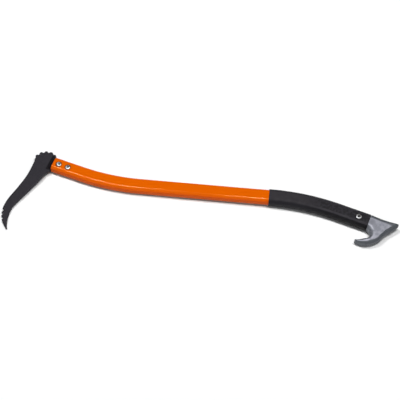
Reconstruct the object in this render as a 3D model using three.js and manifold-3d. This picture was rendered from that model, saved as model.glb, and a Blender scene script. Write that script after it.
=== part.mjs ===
// A hand sappie: the short log pick that a forester swings with one hand.
// A forged steel head is pinned into a bent, oval aluminium tube. A sleeve covers
// the grip end, and a cast guard with a hook plugs the tube behind it.
// Lengths are millimetres and angles are degrees. The tool lies on its flat side:
// +X runs along the handle to the grip end, -Y is the side that the beak points to.

import * as THREE from 'three';
import { mergeVertices, toCreasedNormals } from 'three/addons/utils/BufferGeometryUtils.js';
import Module from 'manifold-3d';

const wasm = await Module();
wasm.setup();

// Handle tube: a flattened oval, bent once behind the head and once under the grip
const tubeWidth = 32;
const tubeThickness = 23;
const tubeCorner = 9;
const tubeWall = 2.5;
const headStraight = 68;
const middleStraight = 290;
const gripStraight = 70;
const bendRadius = 500;
const headBend = 15.7;
const gripBend = 16.9;

// Fits: the play between two pieces, and how far a cutter or a hidden root runs on
const play = 0.3;
const overrun = 2;

// Sleeve on the grip end of the tube
const sleeveWall = 2.2;
const sleeveLength = 223.5;

// Spring pins: slotted steel rings, two through the head's tang and one through the guard's spigot
const headPinDiameter = 10;
const headPinFirst = 14;
const headPinSpacing = 22;
const guardPinDiameter = 11;
const guardPinInset = 23;
const pinWall = 2;
const pinSlot = 2;
const pinSlotAngle = 50;
const pinChamfer = 0.6;
const pinProud = 1.1;

// Head blade: a toothed crown above the handle's line and a long beak below it
const bladeThickness = 9.4;
const beakThickness = 4.8;
const bladeEdge = 1;
const headDepth = 55.8;
const beakReach = 185.5;
const shoulderDrop = 17.5;
const crownRadius = 31.4;
const crownForward = 18;
const crownGap = 3.3;
const crownDrop = 5;
const crownTeeth = 5;
const crownPitch = 20.5;
const crownFirst = -18;
const crownToothDepth = 3.2;
const crownToothFullness = 0.6;

// Outer edge of the blade from the crown to the beak's teeth, as shares of head depth and beak reach
const outerEdgeShares = [
  [0.815, 0.0], [0.789, 0.05], [0.767, 0.126], [0.76, 0.206], [0.783, 0.307], [0.833, 0.405],
  [0.894, 0.5], [0.961, 0.597], [0.991, 0.664], [1.0, 0.714], [0.995, 0.766],
];
// Saw teeth on the outer edge near the tip, notch and crest in turn, as the same shares
const beakToothShares = [
  [0.923, 0.788], [0.95, 0.815], [0.867, 0.838], [0.889, 0.865], [0.797, 0.881], [0.797, 0.902],
];
// Outer edge from the last tooth round the tip, then the inner edge back to the shoulder
const tipEdgeShares = [[0.717, 0.932], [0.609, 0.963], [0.502, 0.987], [0.43, 0.999], [0.416, 0.991]];
const innerEdgeShares = [
  [0.466, 0.968], [0.522, 0.933], [0.582, 0.885], [0.629, 0.83], [0.656, 0.769], [0.658, 0.714],
  [0.615, 0.646], [0.509, 0.545], [0.371, 0.409], [0.24, 0.274], [0.179, 0.206], [0.118, 0.141],
];

// Tang of the head: fills the tube, and swells out of the blade through a short neck
const tangLength = 52;
const tangLead = 3;
const neckLength = 8;
const neckWidth = 31;
const neckThickness = 21.4;
const neckCorner = 7.5;

// Guard: a cast fishtail with a tail on the far side and a hook on the beak side
const guardReach = 62.5;
const guardCollarStep = 0.6;
const guardTailThickness = 17;
const guardTailRise = 20.6;
const guardHookDrop = 56.7;
const guardHookThickness = 18;
const guardEdge = 10;
const spigotLength = 37;
const spigotLead = 3;

// Guard outline from the collar's far side round the tail, the hook and the notch.
// Each point is a share of the guard's reach, of the tail's rise or the hook's drop, and of the rolled edge.
const guardFarShares = [
  [0.07, 0.872, 1.04], [0.19, 0.835, 1.0], [0.33, 0.808, 0.98], [0.48, 0.803, 0.92], [0.63, 0.823, 0.85],
  [0.79, 0.887, 0.75], [0.901, 0.961, 0.7], [0.955, 0.99, 0.7], [0.99, 0.951, 0.7], [1.0, 0.857, 0.7],
  [0.986, 0.709, 0.7], [0.95, 0.478, 0.7],
];
const guardOuterShares = [
  [0.9, 0.08, 0.7], [0.81, -0.07, 0.65], [0.71, -0.223, 0.6], [0.62, -0.41, 0.6],
  [0.534, -0.614, 0.6], [0.43, -0.752, 0.6], [0.318, -0.855, 0.6], [0.2, -0.933, 0.6],
  [0.07, -0.977, 0.6], [-0.07, -0.998, 0.6], [-0.16, -0.984, 0.55], [-0.216, -0.959, 0.45],
  [-0.245, -0.928, 0.4], [-0.229, -0.901, 0.35],
];
const guardNotchShares = [
  [-0.189, -0.882, 0.3], [-0.138, -0.852, 0.3], [-0.074, -0.813, 0.3], [-0.014, -0.771, 0.35],
  [0.061, -0.727, 0.5], [0.13, -0.679, 0.7], [0.173, -0.619, 0.9], [0.186, -0.54, 1.0],
  [0.165, -0.46, 1.04], [0.11, -0.384, 1.04], [0.048, -0.34, 1.04],
];

// Fineness of the facets
const cornerSteps = 5;
const circleSteps = 28;
const edgeSteps = 4;
const toothSteps = 7;
const outlineSteps = 2;
const neckSteps = 4;
const handleSteps = 40;
const sleeveSteps = 14;
const weldDistance = 1e-4;
const creaseAngle = 35;

const radians = THREE.MathUtils.degToRad;
const { clamp, lerp } = THREE.MathUtils;

const finish = (color, roughness, metalness) => new THREE.MeshStandardMaterial({ color, roughness, metalness });
const headFinish = finish(0x38353e, 0.7, 0.3);
const tubeFinish = finish(0xe4630a, 0.35, 0.1);
const sleeveFinish = finish(0x2b292d, 0.8, 0);
const castFinish = finish(0x9298a4, 0.5, 0.7);
const pinFinish = finish(0xc9cacc, 0.35, 0.9);

// What fits inside the tube and what lies on it
const bore = {
  width: tubeWidth - 2 * tubeWall,
  thickness: tubeThickness - 2 * tubeWall,
  corner: tubeCorner - tubeWall,
};
const plug = {
  width: bore.width - 2 * play,
  thickness: bore.thickness - 2 * play,
  corner: bore.corner - play,
};
const sleeve = {
  width: tubeWidth + 2 * sleeveWall,
  thickness: tubeThickness + 2 * sleeveWall,
  corner: tubeCorner + sleeveWall,
};
const collar = {
  width: sleeve.width - 2 * guardCollarStep,
  thickness: sleeve.thickness - 2 * guardCollarStep,
  corner: sleeve.corner - guardCollarStep,
};

// The handle's centre line, walked from its head end: each run has a length and a turn
const handleRuns = [
  [headStraight, 0],
  [bendRadius * radians(headBend), radians(headBend)],
  [middleStraight, 0],
  [bendRadius * radians(gripBend), -radians(gripBend)],
  [gripStraight, 0],
];
const handleLength = handleRuns.reduce((sum, [length]) => sum + length, 0);

function handleAt(distance) {
  const place = { x: 0, y: 0, angle: -radians(headBend) };
  let left = distance;
  for (const [length, fullTurn] of handleRuns) {
    const run = Math.min(left, length);
    const turn = (fullTurn * run) / length;
    const chord = turn === 0 ? run : (2 * run * Math.sin(turn / 2)) / turn;
    place.x += chord * Math.cos(place.angle + turn / 2);
    place.y += chord * Math.sin(place.angle + turn / 2);
    place.angle += turn;
    left -= run;
  }
  return place;
}

class HandleLine extends THREE.Curve {
  constructor(from, to) {
    super();
    this.from = from;
    this.to = to;
  }

  getPoint(share) {
    const { x, y } = handleAt(lerp(this.from, this.to, share));
    return new THREE.Vector3(x, y, 0);
  }
}

// Outline of a flattened oval: a rectangle with large round corners
function ovalPoints(width, height, corner) {
  const points = [];
  [[1, 1], [-1, 1], [-1, -1], [1, -1]].forEach(([sideX, sideY], quarter) => {
    for (let step = 0; step <= cornerSteps; step += 1) {
      const angle = (Math.PI / 2) * (quarter + step / cornerSteps);
      const x = sideX * (width / 2 - corner) + corner * Math.cos(angle);
      const y = sideY * (height / 2 - corner) + corner * Math.sin(angle);
      points.push(new THREE.Vector2(x, y));
    }
  });
  return points;
}

// Turns a closed triangle mesh round if its faces point inwards
function facingOut(geometry) {
  const position = geometry.getAttribute('position');
  const index = geometry.getIndex();
  const corners = [new THREE.Vector3(), new THREE.Vector3(), new THREE.Vector3()];
  let volume = 0;
  for (let i = 0; i < index.count; i += 3) {
    corners.forEach((corner, k) => corner.fromBufferAttribute(position, index.getX(i + k)));
    volume += corners[0].dot(corners[1].cross(corners[2]));
  }
  for (let i = 0; volume < 0 && i < index.count; i += 3) {
    const first = index.getX(i);
    index.setX(i, index.getX(i + 1));
    index.setX(i + 1, first);
  }
  return geometry;
}

// A closed mesh as a solid that can be joined and cut
function solid(geometry) {
  geometry.deleteAttribute('normal');
  geometry.deleteAttribute('uv');
  const shape = facingOut(mergeVertices(geometry, weldDistance));
  const vertProperties = new Float32Array(shape.getAttribute('position').array);
  const triVerts = new Uint32Array(shape.getIndex().array);
  return new wasm.Manifold(new wasm.Mesh({ numProp: 3, vertProperties, triVerts }));
}

// A named mesh of a finished solid, with its hard edges kept hard
function piece(name, body, material) {
  const { vertProperties, triVerts } = body.getMesh();
  const geometry = new THREE.BufferGeometry();
  geometry.setAttribute('position', new THREE.BufferAttribute(new Float32Array(vertProperties), 3));
  geometry.setIndex(new THREE.BufferAttribute(new Uint32Array(triVerts), 1));
  const mesh = new THREE.Mesh(toCreasedNormals(geometry, radians(creaseAngle)), material);
  mesh.name = name;
  return mesh;
}

function indexed(points, triangles) {
  const geometry = new THREE.BufferGeometry();
  geometry.setAttribute('position', new THREE.Float32BufferAttribute(points.flat(), 3));
  geometry.setIndex(triangles.flat());
  return geometry;
}

// Triangles between two rows of points; a closed row runs on to its first point
function strips(rowA, rowB, count, closed) {
  const triangles = [];
  for (let i = 0; i < (closed ? count : count - 1); i += 1) {
    const next = (i + 1) % count;
    triangles.push([rowA + i, rowA + next, rowB + next], [rowA + i, rowB + next, rowB + i]);
  }
  return triangles;
}

// Triangles that fill a flat outline counterclockwise, with each corner given by numberOf
function fill(outline, numberOf) {
  return THREE.ShapeUtils.triangulateShape(outline, []).map((face) => {
    const clockwise = THREE.ShapeUtils.isClockWise(face.map((i) => outline[i]));
    return (clockwise ? [face[2], face[1], face[0]] : face).map(numberOf);
  });
}

const turnedOver = (triangles) => triangles.map(([a, b, c]) => [c, b, a]);

// A solid through oval rings that stand square to x
function loftAlongX(rings) {
  const sections = rings.map(({ width, thickness, corner }) => ovalPoints(width, thickness, corner));
  const count = sections[0].length;
  const last = rings.length - 1;
  const points = sections.flatMap((section, ring) => section.map((p) => [rings[ring].x, p.x, p.y]));
  const triangles = [];
  for (let ring = 0; ring < last; ring += 1) {
    triangles.push(...strips(ring * count, (ring + 1) * count, count, true));
  }
  triangles.push(...turnedOver(fill(sections[0], (i) => i)));
  triangles.push(...fill(sections[last], (i) => last * count + i));
  return solid(indexed(points, triangles));
}

// Normals that point into a counterclockwise outline; the ends of an open one stay square to x
function inwardNormals(outline, closed) {
  const count = outline.length;
  return outline.map((point, i) => {
    if (!closed && (i === 0 || i === count - 1)) {
      return new THREE.Vector2(0, -Math.sign(point.y));
    }
    const along = outline[(i + 1) % count].clone().sub(outline[(i + count - 1) % count]).normalize();
    return new THREE.Vector2(-along.y, along.x);
  });
}

// Radius of the largest circle inside the outline that touches it at one of its points
function roomInside(outline, normal, i) {
  let room = Infinity;
  outline.forEach((other, j) => {
    const way = other.clone().sub(outline[i]);
    const ahead = way.dot(normal);
    if (j !== i && ahead > 0) {
      room = Math.min(room, way.lengthSq() / (2 * ahead));
    }
  });
  return room;
}

// A plate whose thickness varies over it, alike above and below. Its edge is rolled to the radius
// that each outline point holds as its z, as far as there is room for it.
// The two ends of an open outline are joined by a flat face square to x.
function rolledPlate(given, closed, halfThicknessAt) {
  const ordered = THREE.ShapeUtils.isClockWise(given) ? [...given].reverse() : given;
  const outline = ordered.map(({ x, y }) => new THREE.Vector2(x, y));
  const normals = inwardNormals(outline, closed);
  const edgeRoomShare = 0.8;
  const edges = ordered.map(({ z }, i) => {
    const wall = edgeRoomShare * roomInside(outline, normals[i], i);
    return Math.min(z, wall, halfThicknessAt(outline[i]));
  });
  const count = outline.length;
  const levels = [];
  for (let step = edgeSteps; step >= 0; step -= 1) {
    levels.push({ side: -1, angle: (Math.PI / 2) * (step / edgeSteps) });
  }
  levels.push(...levels.map(({ angle }) => ({ side: 1, angle })).reverse());
  const points = levels.flatMap(({ side, angle }) => outline.map((point, i) => {
    const inset = edges[i] * (1 - Math.cos(angle));
    const rise = halfThicknessAt(point) - edges[i] * (1 - Math.sin(angle));
    const place = point.clone().addScaledVector(normals[i], inset);
    return [place.x, place.y, side * rise];
  }));
  const triangles = [];
  for (let level = 0; level + 1 < levels.length; level += 1) {
    triangles.push(...strips(level * count, (level + 1) * count, count, closed));
  }
  const top = (levels.length - 1) * count;
  const rim = outline.map((point, i) => new THREE.Vector2(points[top + i][0], points[top + i][1]));
  triangles.push(...turnedOver(fill(rim, (i) => i)));
  triangles.push(...fill(rim, (i) => top + i));
  if (!closed) {
    const starts = levels.map((level, row) => row * count);
    const ends = levels.map((level, row) => row * count + count - 1);
    const loop = [...starts, ...ends.reverse()];
    const face = loop.map((i) => new THREE.Vector2(points[i][1], points[i][2]));
    triangles.push(...turnedOver(fill(face, (i) => loop[i])));
  }
  return solid(indexed(points, triangles));
}

function smoothLine(points) {
  const line = new THREE.CatmullRomCurve3(points, false, 'catmullrom');
  return line.getPoints(outlineSteps * (points.length - 1));
}

// A straight cut along z for a pin, through everything that the pin holds
function pinHole(diameter, x, y) {
  const radius = diameter / 2 + play;
  const height = sleeve.thickness + 2 * overrun;
  const cutter = new THREE.CylinderGeometry(radius, radius, height, circleSteps);
  cutter.rotateX(Math.PI / 2);
  cutter.translate(x, y, 0);
  return solid(cutter);
}

const headPinPlaces = [headPinFirst, headPinFirst + headPinSpacing];
const guardPinPlace = handleLength - guardPinInset;

function handleTube() {
  const section = new THREE.Shape(ovalPoints(tubeThickness, tubeWidth, tubeCorner));
  section.holes.push(new THREE.Path(ovalPoints(bore.thickness, bore.width, bore.corner)));
  const path = new HandleLine(0, handleLength);
  let body = solid(new THREE.ExtrudeGeometry(section, { steps: handleSteps, extrudePath: path }));
  for (const distance of headPinPlaces) {
    const { x, y } = handleAt(distance);
    body = body.subtract(pinHole(headPinDiameter, x, y));
  }
  const { x, y } = handleAt(guardPinPlace);
  return piece('handle_tube', body.subtract(pinHole(guardPinDiameter, x, y)), tubeFinish);
}

function gripSleeve() {
  const section = new THREE.Shape(ovalPoints(sleeve.thickness, sleeve.width, sleeve.corner));
  const inner = ovalPoints(tubeThickness + 2 * play, tubeWidth + 2 * play, tubeCorner + play);
  section.holes.push(new THREE.Path(inner));
  const path = new HandleLine(handleLength - sleeveLength, handleLength);
  const body = solid(new THREE.ExtrudeGeometry(section, { steps: sleeveSteps, extrudePath: path }));
  const { x, y } = handleAt(guardPinPlace);
  return piece('grip_sleeve', body.subtract(pinHole(guardPinDiameter, x, y)), sleeveFinish);
}

// The crown is an arc of rounded teeth that starts at the shoulder
function crownOutline() {
  const points = [];
  const toothCount = crownTeeth * toothSteps;
  for (let step = 0; step <= toothCount; step += 1) {
    const inTooth = step / toothSteps - 0.5;
    const angle = radians(crownFirst + crownPitch * inTooth);
    const swell = Math.abs(Math.cos(Math.PI * inTooth)) ** crownToothFullness;
    const radius = crownRadius - crownToothDepth * (1 - swell);
    points.push(new THREE.Vector3(
      Math.max(crownForward + radius * Math.sin(angle), crownGap),
      crownDrop - radius * Math.cos(angle),
      bladeEdge,
    ));
  }
  return points;
}

// In the head's own frame x runs out of the tube and y runs towards the beak's tip
function headOutline() {
  const place = ([depth, reach]) => new THREE.Vector3(headDepth * depth, beakReach * reach, bladeEdge);
  const crown = crownOutline();
  const outer = smoothLine([crown[crown.length - 1], ...outerEdgeShares.map(place)]);
  const lastTooth = place(beakToothShares[beakToothShares.length - 1]);
  const shoulder = new THREE.Vector3(play, shoulderDrop, bladeEdge);
  const rest = [...tipEdgeShares, ...innerEdgeShares].map(place);
  const inner = smoothLine([lastTooth, ...rest, shoulder]);
  return [...crown.slice(0, -1), ...outer, ...beakToothShares.slice(0, -1).map(place), ...inner];
}

function headHalfThickness({ y }) {
  const crownTop = crownDrop - crownRadius;
  const share = (y - crownTop) / (beakReach - crownTop);
  return lerp(bladeThickness, beakThickness, share) / 2;
}

function tangAndNeck() {
  const lead = { width: plug.width - tangLead, thickness: plug.thickness - tangLead };
  const rings = [
    { x: -tangLength, ...lead, corner: plug.corner - tangLead / 2 },
    { x: tangLead - tangLength, ...plug },
    { x: play, ...plug },
  ];
  const buried = beakThickness;
  for (let step = 0; step <= neckSteps; step += 1) {
    const share = step / neckSteps;
    const thickness = lerp(neckThickness, buried, Math.sin((Math.PI / 2) * share));
    rings.push({
      x: play + neckLength * share,
      width: neckWidth,
      thickness,
      corner: Math.min(neckCorner, thickness / 2 - play),
    });
  }
  return loftAlongX(rings);
}

function sappieHead() {
  const blade = rolledPlate(headOutline(), true, headHalfThickness);
  let body = blade.add(tangAndNeck());
  for (const distance of headPinPlaces) {
    body = body.subtract(pinHole(headPinDiameter, -distance, 0));
  }
  const mesh = piece('sappie_head', body, headFinish);
  const { x, y, angle } = handleAt(0);
  mesh.position.set(x, y, 0);
  mesh.rotation.z = angle + Math.PI;
  return mesh;
}

// In the guard's own frame x runs out of the tube and the hook lies on the -y side
function guardOutline() {
  const half = collar.width / 2;
  const place = (reach) => ([x, y, edge]) => new THREE.Vector3(guardReach * x, reach * y, guardEdge * edge);
  const far = guardFarShares.map(place(guardTailRise));
  const near = [...guardOuterShares, ...guardNotchShares].map(place(guardHookDrop));
  const ends = [half, -half].map((y) => new THREE.Vector3(0, y, collar.corner));
  return smoothLine([ends[0], ...far, ...near, ends[1]]);
}

function guardHalfThickness({ x, y }) {
  const half = collar.width / 2;
  const tailShare = clamp(x / guardReach, 0, 1);
  const hookShare = clamp((-y - half) / (guardHookDrop - half), 0, 1);
  const tailThinning = (tailShare * (collar.thickness - guardTailThickness)) / 2;
  const hookThinning = (hookShare * (collar.thickness - guardHookThickness)) / 2;
  return collar.thickness / 2 - Math.hypot(tailThinning, hookThinning);
}

function endGuard() {
  const cast = rolledPlate(guardOutline(), false, guardHalfThickness).translate([play, 0, 0]);
  const lead = { width: plug.width - spigotLead, thickness: plug.thickness - spigotLead };
  const spigot = loftAlongX([
    { x: -spigotLength, ...lead, corner: plug.corner - spigotLead / 2 },
    { x: spigotLead - spigotLength, ...plug },
    { x: play + overrun, ...plug },
  ]);
  const body = cast.add(spigot).subtract(pinHole(guardPinDiameter, -guardPinInset, 0));
  const mesh = piece('end_guard', body, castFinish);
  const { x, y, angle } = handleAt(handleLength);
  mesh.position.set(x, y, 0);
  mesh.rotation.z = angle;
  return mesh;
}

// A slotted ring of spring steel, chamfered at both ends, that stands a little proud on both sides
function springPin(name, diameter, held, distance) {
  const length = held + 2 * pinProud;
  const gap = pinSlot / diameter;
  const outer = [];
  const inner = [];
  for (let step = 0; step <= circleSteps; step += 1) {
    const angle = lerp(gap, 2 * Math.PI - gap, step / circleSteps);
    const way = new THREE.Vector2(Math.cos(angle), Math.sin(angle));
    outer.push(way.clone().multiplyScalar(diameter / 2));
    inner.unshift(way.clone().multiplyScalar(diameter / 2 - pinWall));
  }
  const geometry = new THREE.ExtrudeGeometry(new THREE.Shape([...outer, ...inner]), {
    depth: length - 2 * pinChamfer,
    bevelThickness: pinChamfer,
    bevelSize: pinChamfer,
    bevelOffset: -pinChamfer,
    bevelSegments: 1,
  });
  geometry.translate(0, 0, pinChamfer - length / 2);
  const mesh = piece(name, solid(geometry), pinFinish);
  const { x, y } = handleAt(distance);
  mesh.position.set(x, y, 0);
  mesh.rotation.z = radians(pinSlotAngle);
  return mesh;
}

const sappie = new THREE.Group();
sappie.add(sappieHead());
sappie.add(handleTube());
sappie.add(gripSleeve());
sappie.add(endGuard());
sappie.add(springPin('head_pin_front', headPinDiameter, tubeThickness, headPinPlaces[0]));
sappie.add(springPin('head_pin_rear', headPinDiameter, tubeThickness, headPinPlaces[1]));
sappie.add(springPin('guard_pin', guardPinDiameter, sleeve.thickness, guardPinPlace));

// The origin is under the middle of the tool, on the surface that it lies on
const extent = new THREE.Box3().setFromObject(sappie, true);
const middle = extent.getCenter(new THREE.Vector3());
sappie.position.set(-middle.x, -middle.y, -extent.min.z);
sappie.updateMatrixWorld(true);

export default sappie;
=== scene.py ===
# %% [markdown]
# # A hand sappie
# A sappie is a log pick. A forester drives its beak into a log and drags it by the handle. This
# one is the short kind for one hand: a forged steel head, pinned into a bent aluminium tube, with
# a sleeve for a grip and a cast guard at the end.
#
# The packed model is loaded first. It is the frame that everything here has to fit, so each piece
# is made in millimetres from its sizes, and then laid exactly where the packed part has it.

# %% Load the packed model
import math

import bmesh
import bpy
from mathutils import Matrix, Vector


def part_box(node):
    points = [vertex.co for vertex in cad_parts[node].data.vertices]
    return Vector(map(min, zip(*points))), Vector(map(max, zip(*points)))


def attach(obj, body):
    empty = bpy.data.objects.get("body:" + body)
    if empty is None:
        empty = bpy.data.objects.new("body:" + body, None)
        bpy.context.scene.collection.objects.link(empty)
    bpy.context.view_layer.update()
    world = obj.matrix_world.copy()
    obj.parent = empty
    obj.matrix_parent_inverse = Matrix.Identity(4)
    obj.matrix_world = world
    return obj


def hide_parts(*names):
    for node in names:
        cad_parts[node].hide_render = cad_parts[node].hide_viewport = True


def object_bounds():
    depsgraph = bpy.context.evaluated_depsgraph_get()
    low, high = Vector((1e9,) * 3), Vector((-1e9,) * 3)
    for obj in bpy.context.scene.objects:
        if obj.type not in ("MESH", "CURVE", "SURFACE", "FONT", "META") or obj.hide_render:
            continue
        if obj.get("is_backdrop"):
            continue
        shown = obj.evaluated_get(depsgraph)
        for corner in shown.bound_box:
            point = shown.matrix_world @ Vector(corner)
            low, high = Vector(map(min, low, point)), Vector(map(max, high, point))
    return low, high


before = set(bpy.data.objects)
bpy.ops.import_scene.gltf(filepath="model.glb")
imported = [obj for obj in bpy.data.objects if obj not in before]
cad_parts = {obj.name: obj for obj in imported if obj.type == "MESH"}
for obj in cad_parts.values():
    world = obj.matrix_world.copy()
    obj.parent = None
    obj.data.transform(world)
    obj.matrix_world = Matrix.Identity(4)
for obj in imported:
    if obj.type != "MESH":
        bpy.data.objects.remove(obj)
cad_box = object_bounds()
print("packed nodes:", sorted(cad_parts))
print("packed box in mm:", [[round(v * 1000, 1) for v in corner] for corner in cad_box])

# %% [markdown]
# ## The camera
# The tool lies on its flat side and is seen from 60 degrees above the table. The camera is turned
# a little, so that the handle's middle slopes down to the right. A long lens from two metres keeps
# the handle from tapering. In the end the camera moves down by a centimetre without turning, which
# lifts the tool in the picture. A shifted lens would do the same, but other views would keep the
# shift.

# %% Camera
view_turn = math.radians(5.69)
view_height = math.radians(60)
view_distance = 2.078
view_drop = 0.0098
aim = Vector((-0.0047, 0.0236, 0.0148))

camera = bpy.data.objects.new("camera", bpy.data.cameras.new("camera"))
bpy.context.scene.collection.objects.link(camera)
bpy.context.scene.camera = camera
camera.data.lens = 85
camera.data.sensor_width = 36
camera.rotation_euler = (math.pi / 2 - view_height, 0, view_turn)
looking = camera.rotation_euler.to_matrix() @ Vector((0, 0, -1))
upward = camera.rotation_euler.to_matrix() @ Vector((0, 1, 0))
camera.location = aim - looking * view_distance - upward * view_drop
print("camera at", [round(v, 3) for v in camera.location])

# %% [markdown]
# ## The floor
# The tool lies on white paper, but not quite flat: it rolls over its pins until the beak's tip
# rests too. The packed part is level, so it is the paper that is tilted here, through the three
# points that touch: the ends of the guard pin and of the rear head pin, and the beak's tip.

# %% Tilted sheet
floor_gap = 0.0001
touching = [
    Vector((0.3425, -0.0069, 0)),
    Vector((-0.3039, 0.0562, 0.0022)),
    Vector((-0.4111, -0.1011, 0.0124)),
]
floor_up = (touching[1] - touching[0]).cross(touching[2] - touching[0]).normalized()
tilt = Vector((0, 0, 1)).rotation_difference(floor_up).to_matrix()
lowering = floor_up * (touching[0].dot(floor_up) - floor_gap)

sheet = bmesh.new()
bmesh.ops.create_grid(sheet, x_segments=1, y_segments=1, size=6)
bmesh.ops.rotate(sheet, matrix=tilt, verts=sheet.verts)
bmesh.ops.translate(sheet, vec=lowering, verts=sheet.verts)
floor_mesh = bpy.data.meshes.new("floor")
sheet.to_mesh(floor_mesh)
sheet.free()
floor = bpy.data.objects.new("floor", floor_mesh)
bpy.context.scene.collection.objects.link(floor)
floor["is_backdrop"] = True
print("floor tilted by", round(math.degrees(floor_up.angle((0, 0, 1))), 2), "degrees")

# %% [markdown]
# ## White paper
# The paper is a plain pale sheet that takes a shadow. Far from the tool it gets less light from
# the lamps, so a second shader adds a little light of its own there. It starts 0.46 metres from
# the middle, beyond the tool, and only for rays that come from the camera, or by way of metal or
# glass: so the background is white in the picture, and the tool gets no light from it but what its
# metal mirrors.
#
# Two helpers join the nodes, so that a line of them reads like a sentence.


# %% White paper
def link(tree, source, target):
    """Joins one socket to another."""
    tree.links.new(source, target)


def joined(tree, kind, first, second):
    """Joins two values by a Math node."""
    made = tree.nodes.new("ShaderNodeMath")
    made.operation = kind
    link(tree, first, made.inputs[0])
    link(tree, second, made.inputs[1])
    return made.outputs[0]


glow_start, glow_full, glow_strength = 0.46, 0.75, 0.1

paper = bpy.data.materials.new("white_paper")
paper.use_nodes = True
tree = paper.node_tree
tree.nodes.clear()
diffuse = tree.nodes.new("ShaderNodeBsdfDiffuse")
diffuse.inputs["Color"].default_value = (0.94, 0.94, 0.94, 1)
ray = tree.nodes.new("ShaderNodeLightPath").outputs
seen = joined(tree, "MAXIMUM", ray["Is Camera Ray"], ray["Is Glossy Ray"])
seen = joined(tree, "MAXIMUM", seen, ray["Is Transmission Ray"])
apart = tree.nodes.new("ShaderNodeVectorMath")
apart.operation = "LENGTH"
link(tree, tree.nodes.new("ShaderNodeTexCoord").outputs["Object"], apart.inputs[0])
outside = tree.nodes.new("ShaderNodeMapRange")
outside.inputs["From Min"].default_value = glow_start
outside.inputs["From Max"].default_value = glow_full
outside.inputs["To Max"].default_value = glow_strength
link(tree, apart.outputs["Value"], outside.inputs["Value"])
glow = tree.nodes.new("ShaderNodeEmission")
link(tree, joined(tree, "MULTIPLY", seen, outside.outputs["Result"]), glow.inputs["Strength"])
both = tree.nodes.new("ShaderNodeAddShader")
link(tree, diffuse.outputs[0], both.inputs[0])
link(tree, glow.outputs[0], both.inputs[1])
paper_out = tree.nodes.new("ShaderNodeOutputMaterial")
link(tree, both.outputs[0], paper_out.inputs["Surface"])
floor_mesh.materials.append(paper)
print("paper of", len(tree.nodes), "nodes glows from", glow_start, "m outwards")

# %% [markdown]
# ## The light
# The bright line along the tube lies where its flat top starts to round down towards us. A surface
# there mirrors what is right above it, so two long softboxes hang overhead, with a gap between
# them where the line breaks off. Lamps as large as these also make the shadows soft. The left one
# hangs half a metre behind the tool and throws the shadows to the front, the right one hangs
# almost straight above.

# %% Softboxes
lamp_target, lamp_depth = Vector((0, 0.02, 0)), 0.3


def softbox(name, place, width, power):
    """An area lamp at a place, turned to the tool's middle."""
    lamp = bpy.data.lights.new(name, "AREA")
    lamp.shape = "RECTANGLE"
    lamp.size = width
    lamp.size_y = lamp_depth
    lamp.energy = power
    holder = bpy.data.objects.new(name, lamp)
    holder.location = place
    away = (Vector(place) - lamp_target).normalized()
    deep = away.cross(Vector((1, 0, 0))).normalized()
    holder.rotation_euler = Matrix((deep.cross(away), deep, away)).transposed().to_euler()
    bpy.context.scene.collection.objects.link(holder)


softbox("left_overhead", (-0.69, 0.5, 2.4), width=0.78, power=31)
softbox("right_overhead", (0.51, -0.03, 2.4), width=1.04, power=34.5)
bpy.context.scene.view_settings.view_transform = "Standard"

# %% [markdown]
# ## The room
# The tube's flat top mirrors the air behind the tool, so the room is dark there and the orange
# stays deep. In front the room is paler, which fills the shadows. For the camera itself the air is
# almost white.

# %% Room
room = bpy.data.worlds.new("dim_room")
bpy.context.scene.world = room
room.use_nodes = True
tree = room.node_tree
air = tree.nodes["Background"]
air.inputs["Color"].default_value = (0.97, 0.985, 1, 1)
way = tree.nodes.new("ShaderNodeSeparateXYZ")
link(tree, tree.nodes.new("ShaderNodeTexCoord").outputs["Generated"], way.inputs[0])
walls = tree.nodes.new("ShaderNodeMapRange")
walls.interpolation_type = "SMOOTHSTEP"
front, behind, front_light, light_behind = -0.35, 0.3, 0.3, 0.02
walls.inputs["From Min"].default_value = front
walls.inputs["From Max"].default_value = behind
walls.inputs["To Min"].default_value = front_light
walls.inputs["To Max"].default_value = light_behind
link(tree, way.outputs["Y"], walls.inputs["Value"])
ray = tree.nodes.new("ShaderNodeLightPath").outputs
brightness = joined(tree, "MAXIMUM", ray["Is Camera Ray"], walls.outputs["Result"])
link(tree, brightness, air.inputs["Strength"])
print("room light:", front_light, "in front,", light_behind, "behind")

# %% [markdown]
# ## Finishing a piece
# Each piece is made as a bmesh in millimetres, in the handle's own frame, and moved to its place
# in the row frame. These helpers give it its name and its smooth shading, and hang it on the one
# body of this tool. A piece's object stays at the origin, with its place in its mesh.

# %% Helpers for finished pieces
mm = 0.001
smooth_angle = math.radians(38)


def box_of(bm):
    """Lowest and highest corner of a bmesh."""
    low = Vector([min(v.co[i] for v in bm.verts) for i in range(3)])
    high = Vector([max(v.co[i] for v in bm.verts) for i in range(3)])
    return low, high


def held(bm, name):
    """Hands a bmesh over to an object in the scene."""
    mesh = bpy.data.meshes.new(name)
    bm.to_mesh(mesh)
    bm.free()
    holder = bpy.data.objects.new(name, mesh)
    bpy.context.scene.collection.objects.link(holder)
    return holder


def released(holder):
    """Takes an object out of the scene and gives its shape back as a bmesh."""
    mesh = holder.data
    bm = bmesh.new()
    bm.from_mesh(mesh)
    bpy.data.objects.remove(holder)
    bpy.data.meshes.remove(mesh)
    return bm


def finished(bm, name, node):
    """Makes a piece of a bmesh in row-frame metres, in the place of a packed node."""
    corners = zip(box_of(bm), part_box(node))
    off = [round((a - b) / mm, 2) for own, packed in corners for a, b in zip(own, packed)]
    piece = held(bm, name)
    piece.data.shade_smooth()
    piece.data.set_sharp_from_angle(angle=smooth_angle)
    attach(piece, "root")
    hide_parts(node)
    print(f"{name}: {len(piece.data.polygons)} faces, off its packed node by {off} mm")
    return piece


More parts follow.
